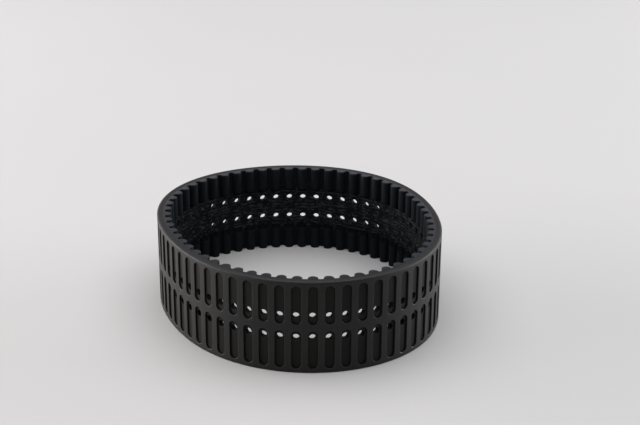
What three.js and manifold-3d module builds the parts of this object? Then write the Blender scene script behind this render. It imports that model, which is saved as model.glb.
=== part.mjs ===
// Vacuum timing belt: an endless 8 mm pitch toothed belt, 60 teeth, 50 mm wide, standing on one edge.
// Millimetres, +Z along the belt's width, origin under the middle of the loop on the edge it stands on.
// From outside to inside a belt like this is: a rubber cover with two rows of milled suction slots,
// the belt's back with two rows of round suction holes, the wound tension cords, and two bands of rubber
// teeth, each under a nylon facing. Between the bands the teeth are ground away over a plain channel.
import * as THREE from "three";
import { mergeVertices } from "three/addons/utils/BufferGeometryUtils.js";
import Module from "manifold-3d";

const wasm = await Module();
wasm.setup();

// Belt size.
const TEETH = 60;
const PITCH = 8;
const WIDTH = 50;

// The loop as it stands free: not quite round, with its pitch line TEETH * PITCH long.
const OVAL = 4.4;
const OVAL_AXIS = THREE.MathUtils.degToRad(-64.3);
const EGG = 1.18;
const EGG_AXIS = THREE.MathUtils.degToRad(40.8);
const FLAT = 0.81;
const FLAT_AXIS = THREE.MathUtils.degToRad(-35.1);
const FIRST_TOOTH = 0.6734;
const LOOP_SAMPLES = 7200;

// Layers, each face by its distance outwards from the pitch line.
const COVER_FACE = 3.45;
const SLOT_FLOOR = 2.5;
const CORD_ROOM = 0.45;
const CHANNEL_FACE = -0.9;
const LAND_FACE = -0.85;
const FACING = 0.25;
const GAP = 0.05;

// How far a cutter runs past the face that it cuts through.
const PAST = 1;

// Teeth.
const TOOTH_HEIGHT = 3.36;
const FOOT_HALF = 2.65;
const SHOULDER_HALF = 1.75;
const SHOULDER_HEIGHT = 2.5;
const BAND = 14;

// Suction slots in the cover and holes in the back, a pair of each under every tooth. Slot ends and
// hole rows are distances up and down from the middle of their own pattern, and the holes are a little
// off the middle of their slots along the belt.
const SLOT_WIDTH = 4.9;
const SLOT_MIDDLE = 25.1;
const SLOT_INNER_END = 1.75;
const SLOT_OUTER_END = 22.75;
const SLOT_END_STEPS = 3;
const HOLE_MIDDLE = 25.4;
const HOLE_ROW = 5.93;
const HOLE_SHIFT = -0.3;
const HOLE_RADIUS = 1.92;
const HOLE_SIDES = 6;

// Tension cords: an S cord and a Z cord wound side by side.
const CORD = 0.8;
const EDGE_LEAD = 6.2;
const EDGE_TURNS = 1.5;
const EDGE_START = 0.75;
const MIDDLE_LEAD = 3.6;
const MIDDLE_TURNS = 1;
const MIDDLE_HALF = 3.25;

const rubberCover = new THREE.MeshStandardMaterial({ color: 0x2b2b2a, roughness: 0.85, metalness: 0 });
const rubberBack = new THREE.MeshStandardMaterial({ color: 0x232325, roughness: 0.9, metalness: 0 });
const rubberTooth = new THREE.MeshStandardMaterial({ color: 0x1f2022, roughness: 0.9, metalness: 0 });
const nylonFacing = new THREE.MeshStandardMaterial({ color: 0x26282d, roughness: 0.65, metalness: 0 });
const glassCord = new THREE.MeshStandardMaterial({ color: 0x8a8578, roughness: 0.7, metalness: 0 });

// The pitch line's distance from the middle at one angle, for a given mean radius.
function loopRadius(angle, mean) {
  const oval = OVAL * Math.cos(2 * (angle - OVAL_AXIS));
  const egg = EGG * Math.cos(3 * (angle - EGG_AXIS));
  const flat = FLAT * Math.cos(4 * (angle - FLAT_AXIS));
  return mean + oval + egg + flat;
}

function loopPoint(angle, mean) {
  const radius = loopRadius(angle, mean);
  return new THREE.Vector2(radius * Math.cos(angle), radius * Math.sin(angle));
}

// Running length of the loop up to each sample.
function loopLengths(mean) {
  const lengths = [0];
  let last = loopPoint(0, mean);
  for (let i = 1; i <= LOOP_SAMPLES; i += 1) {
    const next = loopPoint((i / LOOP_SAMPLES) * 2 * Math.PI, mean);
    lengths.push(lengths[i - 1] + next.distanceTo(last));
    last = next;
  }
  return lengths;
}

// The mean radius that makes the pitch line exactly TEETH * PITCH long.
function meanRadius() {
  const wanted = TEETH * PITCH;
  let mean = wanted / (2 * Math.PI);
  for (let round = 0; round < 8; round += 1) {
    mean += (wanted - loopLengths(mean)[LOOP_SAMPLES]) / (2 * Math.PI);
  }
  return mean;
}

// Corners of the loop at the gaps between the teeth, equally spaced along the pitch line.
function pitchCorners() {
  const mean = meanRadius();
  const lengths = loopLengths(mean);
  const corners = [];
  for (let k = 0; k < TEETH; k += 1) {
    const share = (FIRST_TOOTH + (k - 0.5) / TEETH) % 1;
    const target = share * lengths[LOOP_SAMPLES];
    const i = lengths.findIndex((length) => length > target);
    const part = (target - lengths[i - 1]) / (lengths[i] - lengths[i - 1]);
    corners.push(loopPoint(((i - 1 + part) / LOOP_SAMPLES) * 2 * Math.PI, mean));
  }
  return corners;
}

// A closed loop moved outwards by a distance, each side staying parallel to itself.
function offsetLoop(loop, distance) {
  return loop.map((point, i) => {
    const before = loop[(i + loop.length - 1) % loop.length];
    const after = loop[(i + 1) % loop.length];
    const into = point.clone().sub(before).normalize();
    const out = after.clone().sub(point).normalize();
    const first = new THREE.Vector2(into.y, -into.x);
    const second = new THREE.Vector2(out.y, -out.x);
    const reach = distance / (1 + first.dot(second));
    return point.clone().add(first.add(second).multiplyScalar(reach));
  });
}

// The corners, with the loop's box centred on the origin.
function centredCorners() {
  const corners = pitchCorners();
  const box = new THREE.Box2().setFromPoints(offsetLoop(corners, COVER_FACE));
  const middle = box.getCenter(new THREE.Vector2());
  return corners.map((corner) => corner.sub(middle));
}

const corners = centredCorners();

// The middle, the direction along and the direction outwards of one flat between two corners.
function flatOf(loop, k) {
  const start = loop[k];
  const end = loop[(k + 1) % TEETH];
  const along = end.clone().sub(start).normalize();
  const outwards = new THREE.Vector2(along.y, -along.x);
  const middle = start.clone().add(end).multiplyScalar(0.5);
  return { middle, along, outwards };
}

// The facing's inner outline: a rounded tooth on every flat and a land between each two.
function toothedLoop() {
  const land = offsetLoop(corners, LAND_FACE);
  const profile = [
    [-FOOT_HALF, 0],
    [-SHOULDER_HALF, SHOULDER_HEIGHT],
    [0, TOOTH_HEIGHT],
    [SHOULDER_HALF, SHOULDER_HEIGHT],
    [FOOT_HALF, 0],
  ];
  const points = [];
  for (let k = 0; k < TEETH; k += 1) {
    const { middle, along, outwards } = flatOf(land, k);
    for (const [sideways, height] of profile) {
      const point = middle.clone().addScaledVector(along, sideways);
      points.push(point.addScaledVector(outwards, -height));
    }
  }
  return points;
}

// A ring between two outlines, from one height to another.
function ring(outer, inner, low, high) {
  const shape = new THREE.Shape(outer);
  shape.holes.push(new THREE.Path(inner));
  const geometry = new THREE.ExtrudeGeometry(shape, { depth: high - low, bevelEnabled: false });
  return geometry.translate(0, 0, low);
}

function solidOf(geometry) {
  const bare = geometry.clone();
  bare.deleteAttribute("normal");
  bare.deleteAttribute("uv");
  const merged = mergeVertices(bare, 1e-5);
  const vertProperties = merged.attributes.position.array;
  const triVerts = new Uint32Array(merged.index.array);
  return new wasm.Manifold(new wasm.Mesh({ numProp: 3, vertProperties, triVerts }));
}

function geometryOf(solid) {
  const mesh = solid.getMesh();
  const geometry = new THREE.BufferGeometry();
  geometry.setAttribute("position", new THREE.BufferAttribute(new Float32Array(mesh.vertProperties), 3));
  geometry.setIndex(new THREE.BufferAttribute(new Uint32Array(mesh.triVerts), 1));
  const flat = geometry.toNonIndexed();
  flat.computeVertexNormals();
  return flat;
}

// A shape drawn on flat k (sideways, along the width) and pushed through it from one depth to another.
function cutterOnFlat(shape, k, depthLow, depthHigh) {
  const { middle, along, outwards } = flatOf(corners, k);
  const geometry = new THREE.ExtrudeGeometry(shape, { depth: depthHigh - depthLow, bevelEnabled: false });
  geometry.translate(0, 0, depthLow);
  const across = new THREE.Vector3(along.x, along.y, 0);
  const up = new THREE.Vector3(0, 0, 1);
  const out = new THREE.Vector3(outwards.x, outwards.y, 0);
  const frame = new THREE.Matrix4().makeBasis(across, up, out);
  frame.setPosition(middle.x, middle.y, 0);
  return solidOf(geometry.applyMatrix4(frame));
}

// A slot with round ends, standing along the width between two heights.
function slotShape(low, high) {
  const radius = SLOT_WIDTH / 2;
  const points = [];
  for (const [centre, start] of [[high - radius, 0], [low + radius, Math.PI]]) {
    for (let i = 0; i <= SLOT_END_STEPS; i += 1) {
      const angle = start + (i / SLOT_END_STEPS) * Math.PI;
      points.push(new THREE.Vector2(radius * Math.cos(angle), centre + radius * Math.sin(angle)));
    }
  }
  return new THREE.Shape(points);
}

function holeShape(height) {
  const points = [];
  for (let i = 0; i < HOLE_SIDES; i += 1) {
    const angle = ((i + 0.5) / HOLE_SIDES) * 2 * Math.PI;
    const sideways = HOLE_SHIFT + HOLE_RADIUS * Math.cos(angle);
    points.push(new THREE.Vector2(sideways, height + HOLE_RADIUS * Math.sin(angle)));
  }
  return new THREE.Shape(points);
}

function cover() {
  const shapes = [
    slotShape(SLOT_MIDDLE + SLOT_INNER_END, SLOT_MIDDLE + SLOT_OUTER_END),
    slotShape(SLOT_MIDDLE - SLOT_OUTER_END, SLOT_MIDDLE - SLOT_INNER_END),
  ];
  const outer = offsetLoop(corners, COVER_FACE);
  const inner = offsetLoop(corners, SLOT_FLOOR + GAP);
  let solid = solidOf(ring(outer, inner, 0, WIDTH));
  for (let k = 0; k < TEETH; k += 1) {
    for (const shape of shapes) {
      solid = solid.subtract(cutterOnFlat(shape, k, SLOT_FLOOR - PAST, COVER_FACE + PAST));
    }
  }
  return geometryOf(solid);
}

// The back: thick over the ground channel, thin over the cords, with both rows of holes.
function back() {
  const middle = WIDTH / 2;
  const outer = offsetLoop(corners, SLOT_FLOOR);
  const room = offsetLoop(corners, CORD_ROOM);
  const face = offsetLoop(corners, CHANNEL_FACE);
  const clear = offsetLoop(corners, CHANNEL_FACE - PAST);
  let solid = solidOf(ring(outer, face, 0, WIDTH));
  const rooms = [
    [-PAST, BAND],
    [middle - MIDDLE_HALF, middle + MIDDLE_HALF],
    [WIDTH - BAND, WIDTH + PAST],
  ];
  for (const [low, high] of rooms) {
    solid = solid.subtract(solidOf(ring(room, clear, low, high)));
  }
  for (let k = 0; k < TEETH; k += 1) {
    for (const height of [HOLE_MIDDLE - HOLE_ROW, HOLE_MIDDLE + HOLE_ROW]) {
      solid = solid.subtract(cutterOnFlat(holeShape(height), k, CHANNEL_FACE - PAST, SLOT_FLOOR + PAST));
    }
  }
  return geometryOf(solid);
}

function toothRubber(low, high) {
  const outer = offsetLoop(corners, -CORD_ROOM);
  const inner = offsetLoop(toothedLoop(), FACING + GAP);
  return ring(outer, inner, low, high);
}

function toothFacing(low, high) {
  const inner = toothedLoop();
  return ring(offsetLoop(inner, FACING), inner, low, high);
}

// One cord's path: from gap to gap round the loop, climbing steadily along the width.
class Winding extends THREE.Curve {
  constructor(steps, start, lead) {
    super();
    this.steps = steps;
    this.start = start;
    this.lead = lead;
  }
  getPoint(t, target = new THREE.Vector3()) {
    const position = t * this.steps;
    const i = Math.min(Math.floor(position), this.steps - 1);
    const from = corners[i % TEETH];
    const to = corners[(i + 1) % TEETH];
    const x = THREE.MathUtils.lerp(from.x, to.x, position - i);
    const y = THREE.MathUtils.lerp(from.y, to.y, position - i);
    return target.set(x, y, this.start + (position / TEETH) * this.lead);
  }
  getUtoTmapping(u) {
    return u;
  }
}

function cord(start, lead, turns) {
  const half = CORD / 2;
  const section = new THREE.Shape([
    new THREE.Vector2(-half, -half),
    new THREE.Vector2(half, -half),
    new THREE.Vector2(half, half),
    new THREE.Vector2(-half, half),
  ]);
  const steps = turns * TEETH;
  const extrudePath = new Winding(steps, start, lead);
  return new THREE.ExtrudeGeometry(section, { steps, bevelEnabled: false, extrudePath });
}

function addPiece(group, name, geometry, material) {
  const mesh = new THREE.Mesh(geometry, material);
  mesh.name = name;
  group.add(mesh);
}

// An S cord and a Z cord, half a lead apart, from a height upwards.
function addCords(group, zone, start, lead, turns) {
  addPiece(group, `tension_cord_${zone}_s`, cord(start, lead, turns), glassCord);
  addPiece(group, `tension_cord_${zone}_z`, cord(start + lead / 2, lead, turns), glassCord);
}

function build() {
  const group = new THREE.Group();
  addPiece(group, "belt_cover", cover(), rubberCover);
  addPiece(group, "belt_back", back(), rubberBack);
  addPiece(group, "tooth_rubber_lower", toothRubber(0, BAND), rubberTooth);
  addPiece(group, "tooth_rubber_upper", toothRubber(WIDTH - BAND, WIDTH), rubberTooth);
  addPiece(group, "tooth_facing_lower", toothFacing(0, BAND), nylonFacing);
  addPiece(group, "tooth_facing_upper", toothFacing(WIDTH - BAND, WIDTH), nylonFacing);
  addCords(group, "lower", EDGE_START, EDGE_LEAD, EDGE_TURNS);
  const middleStart = WIDTH / 2 - (MIDDLE_TURNS + 0.5) * MIDDLE_LEAD / 2;
  addCords(group, "middle", middleStart, MIDDLE_LEAD, MIDDLE_TURNS);
  const upperStart = WIDTH - EDGE_START - (EDGE_TURNS + 0.5) * EDGE_LEAD;
  addCords(group, "upper", upperStart, EDGE_LEAD, EDGE_TURNS);
  return group;
}

const belt = build();

export default belt;
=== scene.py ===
import math

import bmesh
import bpy
import numpy as np
from mathutils import Matrix, Vector


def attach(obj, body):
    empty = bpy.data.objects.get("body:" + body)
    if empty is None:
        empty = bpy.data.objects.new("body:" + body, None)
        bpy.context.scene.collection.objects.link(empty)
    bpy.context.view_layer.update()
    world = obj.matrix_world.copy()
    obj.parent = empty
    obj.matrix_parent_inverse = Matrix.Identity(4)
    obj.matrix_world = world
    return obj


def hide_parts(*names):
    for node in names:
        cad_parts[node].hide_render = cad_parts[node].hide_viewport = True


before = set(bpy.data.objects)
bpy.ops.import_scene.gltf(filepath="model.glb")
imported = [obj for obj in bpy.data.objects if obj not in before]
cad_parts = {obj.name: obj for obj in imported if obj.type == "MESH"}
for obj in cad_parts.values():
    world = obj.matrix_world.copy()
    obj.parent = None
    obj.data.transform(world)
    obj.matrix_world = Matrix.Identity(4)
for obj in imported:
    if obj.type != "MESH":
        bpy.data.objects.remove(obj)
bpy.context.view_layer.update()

# Belt size, in millimetres, as in the CAD solids.
MM = 0.001
TEETH = 60
PITCH = 8.0
WIDTH = 50.0

# The loop's shape: waves of two, three and four lobes on a circle, and where tooth 0 is, as a share of it.
OVAL, OVAL_AXIS = 4.4, math.radians(-64.3)
EGG, EGG_AXIS = 1.18, math.radians(40.8)
FLAT, FLAT_AXIS = 0.81, math.radians(-35.1)
LOOP_RADIUS = 76.0
FIRST_TOOTH = 0.6734

# Layers, by their distance outwards from the pitch line.
COVER_FACE = 3.45
SLOT_FLOOR = 2.5
CORD_LINE = 0.2
LAND_FACE = -0.85
CHANNEL_FACE = -0.9

# The teeth: two bands, each covered by a facing that stops where the teeth's ends are ground away.
BAND = 14.0
GROUND_END = 12.6
FACING = 0.25
CROWN_RADIUS, CROWN_MIDDLE = 2.57, 0.79
ROOT_RADIUS, ROOT_OFFSET = 0.55, 0.04
LAND_PITCH = PITCH * (1 + LAND_FACE / LOOP_RADIUS)
LAND_HALF_FLAT = 0.35
GROUND_INSET, GROUND_DIP = 0.12, 0.18

# Slots and holes. The holes sit a little off the middle of their slots, and lean a few degrees about the
# layer at HOLE_WAIST: HOLE_LEAN is in mm per mm of depth. The ground channel runs a little under the teeth.
SLOT_RADIUS = 2.42
SLOT_MIDDLE, SLOT_INNER_END, SLOT_OUTER_END = 25.1, 1.8, 22.7
HOLE_MIDDLE, HOLE_ROW, HOLE_RADIUS = 25.4, 5.93, 1.75
HOLE_SHIFT, HOLE_LEAN_ALONG, HOLE_LEAN_UP = -0.3, 0.08, 0.067
HOLE_WAIST = 0.8
CHANNEL_LAP = 1.0

# Rounded edges, and the fine line between the back and the teeth at the belt's cut edge.
SLOT_ROUND = 0.3
RIM_ROUND = 0.6
HOLE_ROUND = 0.12
FACING_ROUND = 0.12
SEAM = 0.07

# Marks in the channel: cord ridges, the scars of the old teeth and the grinder's chatter.
RIDGE, RIDGE_SPACING = 0.07, 2.1
SCAR = 0.05
CHATTER = 0.03
RIDGE_FADE = 1.2
STREAK_SPACING = 2.0

# Tension cords: an S and a Z cord side by side in each zone, which is given from its lower to its upper end.
CORD_ZONES = {"lower": (1.0, 12.6), "middle": (22.2, 27.8), "upper": (37.4, 49.0)}
CORD_LEAD = 2.6
CORD_RADIUS = 0.42
CORD_STEPS, CORD_SIDES = 240, 8

# Edges that turn more than this many degrees look sharp.
RING_SHARP, TUBE_SHARP, CORD_SHARP = 38, 50, 60
WELD = 2e-6


# ---------------------------------------------------------------- the loop
def radius_at(angle, mean):
    return (
        mean
        + OVAL * np.cos(2 * (angle - OVAL_AXIS))
        + EGG * np.cos(3 * (angle - EGG_AXIS))
        + FLAT * np.cos(4 * (angle - FLAT_AXIS))
    )


def loop_for(mean):
    """The pitch line's points and the distance run at each, for a mean radius."""
    angles = np.linspace(0, 2 * math.pi, 14401)
    r = radius_at(angles, mean)
    xy = np.stack([r * np.cos(angles), r * np.sin(angles)], 1)
    run = np.concatenate([[0], np.cumsum(np.hypot(*np.diff(xy, axis=0).T))])
    return xy, run


def make_loop():
    """The pitch line, its outward directions and its run, and how far its box's middle is from its centre.

    The points are moved so that the middle of the belt's box is the origin.
    """
    mean = TEETH * PITCH / (2 * math.pi)
    for _ in range(8):
        xy, run = loop_for(mean)
        mean += (TEETH * PITCH - run[-1]) / (2 * math.pi)
    xy, run = loop_for(mean)
    tangent = np.roll(xy[:-1], -1, 0) - np.roll(xy[:-1], 1, 0)
    tangent /= np.hypot(tangent[:, 0], tangent[:, 1])[:, None]
    normal = np.stack([tangent[:, 1], -tangent[:, 0]], 1)
    normal = np.concatenate([normal, normal[:1]])
    outer = xy + COVER_FACE * normal
    middle = (outer.max(0) + outer.min(0)) / 2
    return xy - middle, normal, run, middle


LOOP_XY, LOOP_N, LOOP_RUN, BOX_MIDDLE = make_loop()


def place(s, o, z):
    """Tooth pitches along the loop, distance outwards and height (mm) to metres."""
    s, o, z = np.broadcast_arrays(
        np.asarray(s, float), np.asarray(o, float), np.asarray(z, float)
    )
    run = np.mod((FIRST_TOOTH * TEETH + s) * PITCH, LOOP_RUN[-1])
    x = np.interp(run, LOOP_RUN, LOOP_XY[:, 0])
    y = np.interp(run, LOOP_RUN, LOOP_XY[:, 1])
    nx = np.interp(run, LOOP_RUN, LOOP_N[:, 0])
    ny = np.interp(run, LOOP_RUN, LOOP_N[:, 1])
    n = np.hypot(nx, ny)
    return np.stack([x + o * nx / n, y + o * ny / n, z], -1) * MM


def share(x, o):
    """Millimetres sideways at distance o from the pitch line, as a share of a pitch."""
    return np.asarray(x, float) / (PITCH * (1 + np.asarray(o, float) / LOOP_RADIUS))


def heights_from(mirrored):
    """Gives a function that keeps a height or, when mirrored, swaps it to the belt's other half."""

    def z_of(z):
        return WIDTH - z if mirrored else z

    return z_of


# ---------------------------------------------------------------- meshes
def mesh_from(name, points, faces, materials, values, sharp, looks=None):
    """An object with its seams welded, and with values such as the edge paleness (part scuffing, part a
    painted highlight) stored at its points.
    """
    mesh = bpy.data.meshes.new(name)
    mesh.from_pydata(points.tolist(), [], faces)
    if looks is not None:
        mesh.polygons.foreach_set("material_index", looks)
    for key, value in values.items():
        layer = mesh.attributes.new(key, "FLOAT", "POINT")
        layer.data.foreach_set("value", np.asarray(value, np.float32))
    bm = bmesh.new()
    bm.from_mesh(mesh)
    bmesh.ops.remove_doubles(bm, verts=bm.verts, dist=WELD)
    bmesh.ops.recalc_face_normals(bm, faces=bm.faces)
    bm.to_mesh(mesh)
    bm.free()
    mesh.polygons.foreach_set("use_smooth", [True] * len(mesh.polygons))
    mesh.set_sharp_from_angle(angle=math.radians(sharp))
    for material in materials:
        mesh.materials.append(material)
    ob = bpy.data.objects.new(name, mesh)
    bpy.context.scene.collection.objects.link(ob)
    return ob


class Cell:
    """One pitch of a ring: rows of (share of pitch, outwards, height, edge paleness) and faces; the paleness
    is part scuffing, part a painted highlight.
    """

    def __init__(self):
        self.rows = []
        self.faces = []
        self.looks = []

    def add(self, ds, o, z, wear_and_highlight=0.0):
        ds, o, z, wear_and_highlight = np.broadcast_arrays(
            np.asarray(ds, float), np.asarray(o, float), np.asarray(z, float), wear_and_highlight
        )
        start = sum(len(r) for r in self.rows)
        self.rows.append(np.stack([ds, o, z, wear_and_highlight], -1).reshape(-1, 4))
        return list(range(start, start + ds.size))

    def join(self, a, b, closed=False, look=0):
        n = len(a)
        for i in range(n if closed else n - 1):
            j = (i + 1) % n
            self.faces.append((a[i], a[j], b[j], b[i]))
            self.looks.append(look)

    def points(self):
        return np.concatenate(self.rows)


def ring_from(name, cell, materials, relief=None):
    """Repeats a cell at every tooth and welds it into one ring."""
    base = cell.points()
    n = len(base)
    points, faces = [], []
    for k in range(TEETH):
        ds, o, z, _ = base.T
        if relief is not None:
            o = o + relief(k, ds, o, z)
        points.append(place(k + ds, o, z))
        faces += [tuple(i + k * n for i in f) for f in cell.faces]
    values = {
        "wear_and_highlight": np.tile(base[:, 3], TEETH),
        "tooth": np.tile(0.5 + 0.5 * np.cos(2 * math.pi * base[:, 0]), TEETH),
    }
    looks = cell.looks * TEETH
    return mesh_from(name, np.concatenate(points), faces, materials, values, RING_SHARP, looks)


def walk(stops):
    """Points along straight runs between stops (a, b, steps to the next stop), without the last stop."""
    points = []
    for (a, b, steps), (next_a, next_b, _) in zip(stops[:-1], stops[1:]):
        run_a = np.linspace(a, next_a, steps + 1)[:-1]
        run_b = np.linspace(b, next_b, steps + 1)[:-1]
        points.append(np.stack([run_a, run_b], 1))
    return np.concatenate(points)


def rect_frame(inner, low, high, top, bottom, side, across):
    """Points round a rectangle one pitch wide, matching a slot's outline point by point.

    It starts on the right at low, the height of the slot's lower centre, and runs anticlockwise.
    The steps are inner from low to high, side from there to a corner, and across from corner to corner.
    """
    return walk(
        [
            (0.5, low, inner),
            (0.5, high, side),
            (0.5, top, across),
            (-0.5, top, side),
            (-0.5, high, inner),
            (-0.5, low, side),
            (-0.5, bottom, across),
            (0.5, bottom, side),
            (0.5, low, 0),
        ]
    )


def slot_outline(inner, low, high, cap):
    """Centre heights and directions round a slot's outline, starting like rect_frame."""
    return walk(
        [
            (low, 0.0, inner),
            (high, 0.0, cap),
            (high, math.pi, inner),
            (low, math.pi, cap),
            (low, 2 * math.pi, 0),
        ]
    )


# ---------------------------------------------------------------- cover and back
def cover_half(cell, mirrored):
    """The cover from the middle of the belt to one edge, with one slot."""
    z_of = heights_from(mirrored)
    inner, side, across = 8, 3, 8
    low = z_of(SLOT_MIDDLE) + SLOT_INNER_END + SLOT_RADIUS
    high = z_of(SLOT_MIDDLE) + SLOT_OUTER_END - SLOT_RADIUS
    outline = slot_outline(inner, low, high, 2 * side + across)

    def slot_ring(grow, o, wear_and_highlight):
        x = (SLOT_RADIUS + grow) * np.cos(outline[:, 1])
        z = outline[:, 0] + (SLOT_RADIUS + grow) * np.sin(outline[:, 1])
        return cell.add(share(x, o), o, z_of(z), wear_and_highlight)

    # the slot's wall, its rounded edge and the cover's face round it; the rounded edge is marked paler, part
    # scuffing and part a painted highlight
    rings = [slot_ring(0, SLOT_FLOOR, 0.0)]
    for a in np.linspace(0, math.pi / 2, 6):
        grow = SLOT_ROUND * (1 - math.cos(a))
        rings.append(slot_ring(grow, COVER_FACE - SLOT_ROUND * (1 - math.sin(a)), 0.5 * math.sin(a)))
    rings.append(slot_ring(SLOT_ROUND + 0.2, COVER_FACE, 0.2))
    face = rect_frame(inner, low, high, WIDTH - RIM_ROUND, WIDTH / 2, side, across)
    rings.append(cell.add(face[:, 0], COVER_FACE, z_of(face[:, 1]), 0.0))
    for a, b in zip(rings[:-1], rings[1:]):
        cell.join(a, b, True)
    # inner face, hidden against the back
    under = rect_frame(inner, low, high, WIDTH, WIDTH / 2, side, across)
    inside = cell.add(under[:, 0], SLOT_FLOOR, z_of(under[:, 1]), 0.0)
    cell.join(inside, rings[0], True)
    # rounded outer edge and the cut edge; the rounded edge is marked paler, part scuffing and part a painted
    # highlight
    top = [inner + side + i for i in range(across + 1)]
    last = [rings[-1][i] for i in top]
    for a in np.linspace(0, math.pi / 2, 7)[1:]:
        o = COVER_FACE - RIM_ROUND * (1 - math.cos(a))
        z = WIDTH - RIM_ROUND * (1 - math.sin(a))
        row = cell.add(face[top, 0], o, z_of(z), 0.6)
        cell.join(last, row)
        last = row
    cell.join(last, [inside[i] for i in top])


# Which of the back's three materials a face takes; the third, on the hole walls, is darker rubber as painted
# shade.
PLAIN, GROUND, HOLE_SHADE = 0, 1, 2


def back_half(cell, mirrored):
    """The belt's back from the middle to one edge, with one hole."""
    z_of = heights_from(mirrored)
    hole = z_of(HOLE_MIDDLE) + HOLE_ROW
    inner, side, across = 4, 2, 8
    count = 2 * (inner + 2 * side + across)
    turn = -math.pi / 2 * 0.35 + np.arange(count) / count * 2 * math.pi
    circle = np.stack([np.cos(turn), np.sin(turn)], 1)
    top = WIDTH - BAND + CHANNEL_LAP
    frame_pts = rect_frame(inner, hole - 1.0, hole + 1.0, top, WIDTH / 2, side, across)

    def blend_ring(t, o, grow, wear_and_highlight=0.0):
        """A ring between the hole's circle, at t = 0, and the cell's border, at t = 1."""
        depth = o - HOLE_WAIST
        along = HOLE_SHIFT + HOLE_LEAN_ALONG * depth
        up = HOLE_LEAN_UP * depth * (-1 if mirrored else 1)
        x = share(along + (HOLE_RADIUS + grow) * circle[:, 0], o)
        z = hole + up + (HOLE_RADIUS + grow) * circle[:, 1]
        ds = x * (1 - t) + frame_pts[:, 0] * t
        return cell.add(ds, o, z_of(z * (1 - t) + frame_pts[:, 1] * t), wear_and_highlight)

    # from the border, over the slot's floor, through the hole and over the channel to the border
    # the hole's rounded rims, and faintly the channel, are marked paler: part scuffing, part a painted
    # highlight
    rings = [
        blend_ring(1, SLOT_FLOOR, 0),
        blend_ring(0.4, SLOT_FLOOR, HOLE_ROUND),
        blend_ring(0, SLOT_FLOOR, HOLE_ROUND, 0.6),
        blend_ring(0, SLOT_FLOOR - HOLE_ROUND, 0, 0.6),
        blend_ring(0, 0.5, 0),
        blend_ring(0, CHANNEL_FACE + HOLE_ROUND, 0),
        blend_ring(0, CHANNEL_FACE, HOLE_ROUND, 0.6),
    ]
    # the three hole-wall strips take the darker rubber that paints the shade inside the hole
    looks = [PLAIN] * 3 + [HOLE_SHADE] * 3
    for t in (0.12, 0.25, 0.4, 0.55, 0.7, 0.85, 1.0):
        rings.append(blend_ring(t, CHANNEL_FACE, HOLE_ROUND, 0.1))
        looks.append(GROUND)
    for a, b, look in zip(rings[:-1], rings[1:], looks):
        cell.join(a, b, True, look)
    # from the channel to the edge: outer face, cut edge, and the face under the teeth
    pick = [inner + side + i for i in range(across + 1)]
    last = [rings[0][i] for i in pick]
    for o, z in (
        (SLOT_FLOOR, WIDTH - 6.0),
        (SLOT_FLOOR, WIDTH),
        (CORD_LINE + SEAM, WIDTH),
        (CORD_LINE, WIDTH - SEAM),
        (CORD_LINE, top),
    ):
        row = cell.add(frame_pts[pick, 0], o, z_of(z), 0.0)
        cell.join(last, row)
        last = row
    cell.join(last, [rings[-1][i] for i in pick])


def channel_relief(k, ds, o, z):
    """Marks in the ground channel: ridges along the belt that wander and fade, and bumps at the old teeth."""
    inside = np.clip((z - BAND) / RIDGE_FADE, 0, 1) * np.clip((WIDTH - BAND - z) / RIDGE_FADE, 0, 1)
    s = k + ds
    ground = np.abs(o - CHANNEL_FACE) < 0.02
    angle = s / TEETH * 2 * math.pi
    wander = 0.5 * np.sin(5 * angle + 1.1) + 0.35 * np.sin(11 * angle + z * 0.4)
    ridge = np.cos(2 * math.pi * z / RIDGE_SPACING + wander)
    strength = 0.55 + 0.45 * np.sin(17 * angle + z * 0.9 + np.sin(29 * angle))
    old_tooth = np.cos(2 * math.pi * ds) * 0.5 + 0.5
    chatter = np.sin(2 * math.pi * s * 3 + z * 0.7) * (0.4 + 0.6 * old_tooth)
    lift = RIDGE * ridge * strength + SCAR * old_tooth + CHATTER * chatter
    return np.where(ground, -lift * inside, 0.0)


# ---------------------------------------------------------------- teeth
def tooth_profile(inset):
    """Half a tooth, from its crown to the middle of the land: sideways and height.

    inset moves the outline into the rubber by that much.
    """
    points = []
    for a in np.linspace(0, math.pi / 2, 10):
        r = CROWN_RADIUS - inset
        points.append((r * math.sin(a), CROWN_MIDDLE + r * math.cos(a)))
    root_middle = CROWN_RADIUS + ROOT_OFFSET + ROOT_RADIUS
    for a in np.linspace(0, math.pi / 2, 5):
        r = ROOT_RADIUS + inset
        points.append((root_middle - r * math.cos(a), ROOT_RADIUS - r * math.sin(a)))
    points.append((LAND_PITCH / 2 - LAND_HALF_FLAT, -inset))
    return np.array(points)


def tooth_row(inset):
    """One pitch of the toothed outline as shares of a pitch and distances outwards."""
    half = tooth_profile(inset)
    x = np.concatenate([-half[::-1, 0], half[1:, 0]])
    height = np.concatenate([half[::-1, 1], half[1:, 1]])
    return x / LAND_PITCH, LAND_FACE - height


def tube(name, rows, materials, ground=()):
    """A ring whose cross-section, at every place along the loop, is the closed list of rows.

    The strips that start at the rows listed in ground get the second material.
    """
    count = len(rows[0][0])
    total = TEETH * count
    ks = np.repeat(np.arange(TEETH), count)
    points, wear_and_highlight, faces, looks = [], [], [], []
    for r, (ds, o, z, w) in enumerate(rows):
        points.append(place(ks + np.tile(ds, TEETH), np.tile(o, TEETH), z))
        wear_and_highlight.append(np.full(total, float(w)))
        a, b = r * total, ((r + 1) % len(rows)) * total
        looks += [1 if r in ground else 0] * total
        for j in range(total):
            k = (j + 1) % total
            faces.append((a + j, a + k, b + k, b + j))
    values = {"wear_and_highlight": np.concatenate(wear_and_highlight)}
    return mesh_from(name, np.concatenate(points), faces, materials, values, TUBE_SHARP, looks)


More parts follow.
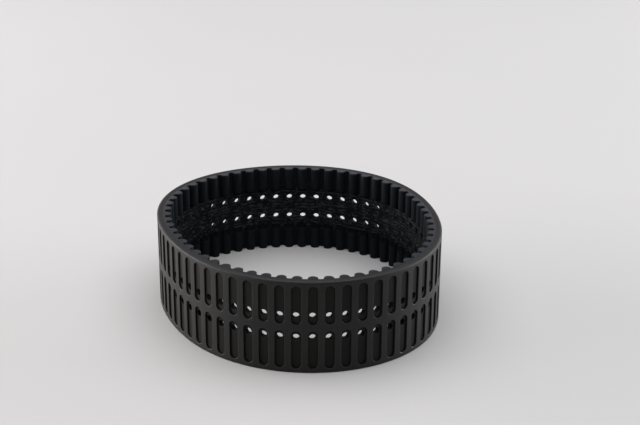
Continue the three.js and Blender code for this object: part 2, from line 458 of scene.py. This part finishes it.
def facing(name, mirrored, materials):
    """The fabric on one band of teeth: its inside against the rubber, its outside rounded at the cut edge."""
    z_of = heights_from(mirrored)
    ds, o = tooth_row(0.0)
    ds_in, o_in = tooth_row(FACING)
    r = FACING_ROUND
    # the rounded cut edge and the ground end are marked paler: part scuffing, part a painted highlight
    rows = [
        (ds_in, o_in, z_of(0.0), 0.0),
        (ds, o + r, z_of(0.0), 0.8),
        (ds, o + r * 0.3, z_of(r * 0.3), 1.0),
        (ds, o, z_of(r), 0.8),
    ]
    for z in (1.0, 3.0, 5.0, 7.0, 9.0, 11.0, GROUND_END - 0.1):
        rows.append((ds, o, z_of(z), 0.0))
    rows.append((ds, o + 0.08, z_of(GROUND_END), 0.8))
    rows.append((ds_in, o_in, z_of(GROUND_END), 0.0))
    return tube(name, rows, materials)


def tooth_rubber(name, mirrored, materials):
    """One band of teeth under the facing, with the ground ends that fall away to the channel."""
    z_of = heights_from(mirrored)
    ds, o = tooth_row(FACING)
    flat = np.full(len(ds), CORD_LINE)
    rows = [
        (ds, flat - SEAM, z_of(0.0), 0.0),
        (ds, o, z_of(0.0), 0.0),
        (ds, o, z_of(GROUND_END - 0.05), 0.0),
    ]
    first = len(rows) - 1
    ds_end, o_end = tooth_row(GROUND_INSET)
    full = LAND_FACE - o_end
    length = BAND + 0.4 - GROUND_END
    # the shoulder where a tooth starts to fall away is marked paler: part scuffing, part a painted highlight
    # on the rounded end
    for t in np.linspace(0, 1, 8):
        fall = math.cos(t * math.pi / 2)
        z = GROUND_END + 0.02 + length * (1 - fall) ** 0.9
        height = full * fall**0.8 - GROUND_DIP * t
        rows.append((ds_end, LAND_FACE - height, z_of(z), 0.6 if t < 0.3 else 0.2))
    last = len(rows)
    rows.append((ds_end, flat, z_of(BAND + 0.42), 0.0))
    rows.append((ds, flat, z_of(SEAM), 0.0))
    return tube(name, rows, materials, range(first, last))


# ---------------------------------------------------------------- cords
def cord_tube(name, start, turns, materials):
    """One cord wound helically round the loop, from height start, with flat ends."""
    steps = int(turns * CORD_STEPS)
    t = np.arange(steps + 1)
    s = -0.5 + t / CORD_STEPS * TEETH
    z = start + t / CORD_STEPS * CORD_LEAD
    strands = []
    for i in range(CORD_SIDES):
        a = 2 * math.pi * (i + 0.5) / CORD_SIDES
        strands.append(place(s, CORD_RADIUS * math.cos(a), z + CORD_RADIUS * math.sin(a)))
    points = np.stack(strands, 1).reshape(-1, 3)
    faces = []
    for j in range(steps):
        here, ahead = j * CORD_SIDES, (j + 1) * CORD_SIDES
        for i in range(CORD_SIDES):
            k = (i + 1) % CORD_SIDES
            faces.append((here + i, here + k, ahead + k, ahead + i))
    faces.append(tuple(range(CORD_SIDES)))
    faces.append(tuple(reversed(range(steps * CORD_SIDES, (steps + 1) * CORD_SIDES))))
    return mesh_from(name, points, faces, materials, {}, CORD_SHARP)


# ---------------------------------------------------------------- material nodes
def new_material(name):
    mat = bpy.data.materials.new(name)
    mat.use_nodes = True
    tree = mat.node_tree
    tree.nodes.clear()
    out = tree.nodes.new("ShaderNodeOutputMaterial")
    shader = tree.nodes.new("ShaderNodeBsdfPrincipled")
    tree.links.new(shader.outputs["BSDF"], out.inputs["Surface"])
    return mat, tree, shader


def mapped(tree, stretch, offset=(0, 0, 0)):
    """Object coordinates, stretched and moved."""
    coord = tree.nodes.new("ShaderNodeTexCoord")
    mapping = tree.nodes.new("ShaderNodeMapping")
    mapping.inputs["Scale"].default_value = stretch
    mapping.inputs["Location"].default_value = offset
    tree.links.new(coord.outputs["Object"], mapping.inputs["Vector"])
    return mapping.outputs["Vector"]


def noise(tree, scale, detail, rough, stretch=(1, 1, 1), offset=(0, 0, 0)):
    tex = tree.nodes.new("ShaderNodeTexNoise")
    tex.inputs["Scale"].default_value = scale
    tex.inputs["Detail"].default_value = detail
    tex.inputs["Roughness"].default_value = rough
    tree.links.new(mapped(tree, stretch, offset), tex.inputs["Vector"])
    return tex.outputs["Fac"]


def ramp(tree, value, source, target=(0, 1)):
    """Maps a range of values to another, and holds them inside it."""
    node = tree.nodes.new("ShaderNodeMapRange")
    node.inputs["From Min"].default_value = source[0]
    node.inputs["From Max"].default_value = source[1]
    node.inputs["To Min"].default_value = target[0]
    node.inputs["To Max"].default_value = target[1]
    tree.links.new(value, node.inputs["Value"])
    return node.outputs["Result"]


def mix_color(tree, factor, a, b):
    node = tree.nodes.new("ShaderNodeMix")
    node.data_type = "RGBA"
    for socket, value in ((node.inputs[6], a), (node.inputs[7], b)):
        if isinstance(value, tuple):
            socket.default_value = (*value, 1)
        else:
            tree.links.new(value, socket)
    tree.links.new(factor, node.inputs[0])
    return node.outputs[2]


def attribute(tree, name):
    node = tree.nodes.new("ShaderNodeAttribute")
    node.attribute_name = name
    return node.outputs["Fac"]


def maths(tree, operation, a, b):
    node = tree.nodes.new("ShaderNodeMath")
    node.operation = operation
    for socket, value in ((node.inputs[0], a), (node.inputs[1], b)):
        if isinstance(value, (int, float)):
            socket.default_value = value
        else:
            tree.links.new(value, socket)
    return node.outputs["Value"]


def weighted(tree, a, share_a, b, share_b):
    """The sum of two values, each times its share."""
    return maths(tree, "ADD", maths(tree, "MULTIPLY", a, share_a), maths(tree, "MULTIPLY", b, share_b))


def bump(tree, shader, height, distance, strength):
    node = tree.nodes.new("ShaderNodeBump")
    node.inputs["Distance"].default_value = distance
    node.inputs["Strength"].default_value = strength
    tree.links.new(height, node.inputs["Height"])
    tree.links.new(node.outputs["Normal"], shader.inputs["Normal"])


# ---------------------------------------------------------------- materials
def rubber(name, dark, light, worn_and_highlit, rough, grain, specular):
    """Moulded rubber: cloudy at two scales, paler on the marked edges (part scuffing, part a painted
    highlight), finely grained.
    """
    mat, tree, shader = new_material(name)
    broad = ramp(tree, noise(tree, 28, 3, 0.55), (0.35, 0.65))
    fine = ramp(tree, noise(tree, 900, 5, 0.7), (0.3, 0.7))
    base = mix_color(tree, weighted(tree, broad, 0.6, fine, 0.4), dark, light)
    # edges paler where marked, broken up by noise: part scuffing, part a painted highlight
    scuff_and_highlight = ramp(tree, noise(tree, 260, 4, 0.65, (1, 1, 0.5)), (0.42, 0.62), (0.25, 1))
    edge = maths(tree, "MULTIPLY", attribute(tree, "wear_and_highlight"), scuff_and_highlight)
    tree.links.new(mix_color(tree, edge, base, worn_and_highlit), shader.inputs["Base Color"])
    tree.links.new(ramp(tree, fine, (0, 1), (rough - 0.07, rough + 0.07)), shader.inputs["Roughness"])
    shader.inputs["Specular IOR Level"].default_value = specular
    grit = weighted(tree, noise(tree, 2600, 3, 0.6), 0.6, noise(tree, 700, 4, 0.6), 0.7)
    bump(tree, shader, grit, 0.00012, grain)
    return mat


def ground_rubber(name):
    """The ground channel: dark rubber with broken paler streaks and crumbs along the cord windings, partly
    the cords showing through and partly a painted glint on the ridges.
    """
    mat, tree, shader = new_material(name)
    wave = tree.nodes.new("ShaderNodeTexWave")
    wave.bands_direction = "Z"
    wave.inputs["Scale"].default_value = 2 * math.pi / (20 * STREAK_SPACING * MM)
    wave.inputs["Distortion"].default_value = 7.0
    wave.inputs["Detail"].default_value = 2.0
    wave.inputs["Detail Scale"].default_value = 1.4
    tree.links.new(mapped(tree, (0.55, 0.55, 1)), wave.inputs["Vector"])
    patch = ramp(tree, noise(tree, 300, 3, 0.6, (0.8, 0.8, 1), (0.3, 0.1, 0.7)), (0.42, 0.56))
    broken = ramp(tree, attribute(tree, "tooth"), (0.15, 0.6), (0.6, 1))
    streak = maths(tree, "MULTIPLY", wave.outputs["Fac"], maths(tree, "MULTIPLY", patch, broken))
    crumbs = ramp(tree, noise(tree, 560, 3, 0.6, (1, 1, 1), (0.7, 0.2, 0.4)), (0.52, 0.66), (0, 0.8))
    ridge = maths(tree, "MAXIMUM", streak, crumbs)
    # the paler streak colour: partly cord showing through, partly a painted glint where the ridges catch the
    # side light
    pale = ramp(tree, ridge, (0.2, 0.85))
    base = mix_color(tree, pale, (0.0008, 0.001, 0.0013), (0.031, 0.0365, 0.042))
    tree.links.new(base, shader.inputs["Base Color"])
    tree.links.new(ramp(tree, ridge, (0.1, 0.8), (0.8, 0.42)), shader.inputs["Roughness"])
    shader.inputs["Specular IOR Level"].default_value = 0.25
    shader.inputs["Specular Tint"].default_value = (0.78, 0.92, 1, 1)
    fine = noise(tree, 1300, 4, 0.7)
    grit = maths(tree, "ADD", ridge, maths(tree, "MULTIPLY", fine, 0.3))
    bump(tree, shader, grit, 0.0005, 0.9)
    return mat


def nylon(name):
    """The teeth's facing: a tight stretch fabric, rubbed into the rubber."""
    mat, tree, shader = new_material(name)
    weave = noise(tree, 1900, 2, 0.5, (1, 1, 0.35))
    cross = noise(tree, 1900, 2, 0.5, (0.4, 0.4, 1), (0.5, 0.2, 0.1))
    cloth = maths(tree, "ADD", weave, cross)
    broad = ramp(tree, noise(tree, 40, 3, 0.6), (0.35, 0.65), (0, 0.55))
    threads = ramp(tree, cloth, (0.8, 1.2), (0, 0.45))
    pale = maths(tree, "ADD", broad, threads)
    base = mix_color(tree, pale, (0.0078, 0.0092, 0.0116), (0.0128, 0.0149, 0.018))
    # facing paler on the marked edges: part scuffing, part a painted highlight
    base = mix_color(tree, attribute(tree, "wear_and_highlight"), base, (0.016, 0.0185, 0.0235))
    tree.links.new(base, shader.inputs["Base Color"])
    tree.links.new(ramp(tree, cloth, (0.7, 1.3), (0.45, 0.7)), shader.inputs["Roughness"])
    shader.inputs["Specular IOR Level"].default_value = 0.05
    shader.inputs["Specular Tint"].default_value = (0.7, 0.86, 1, 1)
    shader.inputs["Sheen Weight"].default_value = 0.01
    shader.inputs["Sheen Roughness"].default_value = 0.5
    bump(tree, shader, cloth, 0.0003, 0.8)
    return mat


def glass_cord(name):
    """Twisted glass fibre, dipped in rubber."""
    mat, tree, shader = new_material(name)
    twist = noise(tree, 900, 3, 0.6, (1, 1, 1.5))
    base = mix_color(tree, ramp(tree, twist, (0.35, 0.65)), (0.10, 0.09, 0.07), (0.26, 0.24, 0.20))
    tree.links.new(base, shader.inputs["Base Color"])
    tree.links.new(ramp(tree, twist, (0.3, 0.7), (0.6, 0.85)), shader.inputs["Roughness"])
    bump(tree, shader, twist, 0.0002, 0.8)
    return mat


def pale_floor(name):
    mat, tree, shader = new_material(name)
    base = mix_color(tree, noise(tree, 3, 2, 0.5), (0.575, 0.565, 0.562), (0.605, 0.595, 0.592))
    tree.links.new(base, shader.inputs["Base Color"])
    shader.inputs["Roughness"].default_value = 0.85
    shader.inputs["Specular IOR Level"].default_value = 0.2
    return mat


cover_mat = rubber(
    "cover_rubber",
    dark=(0.0036, 0.0034, 0.0035),
    light=(0.0064, 0.006, 0.0061),
    worn_and_highlit=(0.021, 0.02, 0.0203),
    rough=0.48,
    grain=0.4,
    specular=0.29,
)
back_mat = rubber(
    "back_rubber",
    dark=(0.0045, 0.0045, 0.0038),
    light=(0.0085, 0.0085, 0.0072),
    worn_and_highlit=(0.012, 0.012, 0.011),
    rough=0.55,
    grain=0.4,
    specular=0.14,
)
# hole walls: darker rubber as painted shade inside the holes
hole_shade_mat = rubber(
    "hole_wall_painted_shade",
    dark=(0.003, 0.0033, 0.004),
    light=(0.0055, 0.006, 0.007),
    worn_and_highlit=(0.008, 0.0085, 0.0095),
    rough=0.7,
    grain=0.4,
    specular=0.08,
)
end_mat = rubber(
    "ground_end_rubber",
    dark=(0.0018, 0.0022, 0.003),
    light=(0.0034, 0.004, 0.0052),
    worn_and_highlit=(0.005, 0.0055, 0.007),
    rough=0.75,
    grain=0.9,
    specular=0.06,
)
tooth_mat = rubber(
    "tooth_rubber",
    dark=(0.0042, 0.005, 0.0078),
    light=(0.0075, 0.0088, 0.0125),
    worn_and_highlit=(0.013, 0.014, 0.018),
    rough=0.55,
    grain=0.5,
    specular=0.21,
)
channel_mat = ground_rubber("ground_rubber")
facing_mat = nylon("nylon_facing")
cord_mat = glass_cord("glass_cord")


# ---------------------------------------------------------------- build
def add_piece(ob, node):
    """Every piece rides on the belt's one body and stands for its CAD solid."""
    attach(ob, "root")
    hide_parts(node)


def full_ring(name, half, materials, relief=None):
    cell = Cell()
    half(cell, False)
    half(cell, True)
    return ring_from(name, cell, materials, relief)


add_piece(full_ring("cover_skin", cover_half, [cover_mat]), "belt_cover")
back_mats = [back_mat, channel_mat, hole_shade_mat]
add_piece(full_ring("back_body", back_half, back_mats, channel_relief), "belt_back")

BANDS = {"lower": False, "upper": True}
for band, mirrored in BANDS.items():
    skin = facing(f"facing_{band}_skin", mirrored, [facing_mat])
    add_piece(skin, f"tooth_facing_{band}")
for band, mirrored in BANDS.items():
    body = tooth_rubber(f"teeth_{band}_body", mirrored, [tooth_mat, end_mat])
    add_piece(body, f"tooth_rubber_{band}")

for zone, (low_end, high_end) in CORD_ZONES.items():
    # whole teeth, so that both cords end inside the zone
    turns = math.floor(((high_end - low_end) / CORD_LEAD - 0.5) * TEETH) / TEETH
    for i, twist in enumerate("sz"):
        start = low_end + i * CORD_LEAD / 2
        cord = cord_tube(f"cord_{zone}_{twist}_wound", start, turns, [cord_mat])
        add_piece(cord, f"tension_cord_{zone}_{twist}")

# ---------------------------------------------------------------- stage
CAMERA_LENS, CAMERA_SENSOR = 78.72, 36.0
CAMERA_DISTANCE, CAMERA_TILT = 766.746734, math.radians(24.3325)
CAMERA_YAW, CAMERA_PITCH = math.radians(-0.8346), math.radians(1.9175)


def make_floor():
    bm = bmesh.new()
    bmesh.ops.create_grid(bm, x_segments=1, y_segments=1, size=3.0)
    mesh = bpy.data.meshes.new("studio_floor")
    bm.to_mesh(mesh)
    bm.free()
    mesh.materials.append(pale_floor("studio_floor"))
    ob = bpy.data.objects.new("studio_floor", mesh)
    ob.location = (0, 1.0, 0)
    bpy.context.scene.collection.objects.link(ob)


def area_light(name, location, target, size, power, color=(1, 1, 1)):
    data = bpy.data.lights.new(name, "AREA")
    data.shape = "RECTANGLE"
    data.size, data.size_y = size
    data.energy = power
    data.color = color
    ob = bpy.data.objects.new(name, data)
    ob.location = location
    way = Vector(target) - Vector(location)
    ob.rotation_euler = way.to_track_quat("-Z", "Y").to_euler()
    bpy.context.scene.collection.objects.link(ob)


def make_lights():
    """A broad soft light above, a pale wall behind, and a low soft light on each side."""
    world = bpy.data.worlds.new("studio")
    world.use_nodes = True
    background = world.node_tree.nodes["Background"]
    background.inputs["Color"].default_value = (0.9, 0.92, 1.0, 1)
    background.inputs["Strength"].default_value = 0.12
    bpy.context.scene.world = world
    area_light("top", (-0.1, 0.1, 1.4), (-0.1, 0.1, 0), (2.6, 2.4), 31.0)
    area_light("back_wall", (0, 1.8, 0.55), (0, 0, 0.1), (3.0, 0.9), 10.5, (0.965, 0.955, 1.0))
    area_light("left", (-1.3, 0.15, 0.17), (0, 0, 0.03), (1.5, 0.34), 28.0, (1.0, 0.965, 0.935))
    area_light("right", (1.3, 0.3, 0.17), (0, 0, 0.03), (1.2, 0.34), 19.0, (0.96, 0.975, 1.0))


def make_camera():
    """A camera in front of the belt, looking down at it and turned a little off its middle."""
    distance = CAMERA_DISTANCE * MM
    out, up = math.cos(CAMERA_TILT), math.sin(CAMERA_TILT)
    centre = Vector((-BOX_MIDDLE[0], -BOX_MIDDLE[1], WIDTH / 2)) * MM
    place_at = centre + Vector((0, -distance * out, distance * up))
    forward, right = Vector((0, out, -up)), Vector((1, 0, 0))
    upward = right.cross(forward)
    yaw = Matrix.Rotation(CAMERA_YAW, 3, upward)
    forward, right = yaw @ forward, yaw @ right
    pitch = Matrix.Rotation(CAMERA_PITCH, 3, right)
    forward, upward = pitch @ forward, pitch @ upward
    data = bpy.data.cameras.new("camera")
    data.lens, data.sensor_width = CAMERA_LENS, CAMERA_SENSOR
    data.clip_start, data.clip_end = 0.01, 20
    ob = bpy.data.objects.new("camera", data)
    basis = Matrix((right, upward, -forward)).transposed().to_4x4()
    ob.matrix_world = Matrix.Translation(place_at) @ basis
    bpy.context.scene.collection.objects.link(ob)
    bpy.context.scene.camera = ob


make_floor()
make_lights()
make_camera()
scene = bpy.context.scene
scene.view_settings.view_transform = "Standard"
scene.view_settings.look = "None"
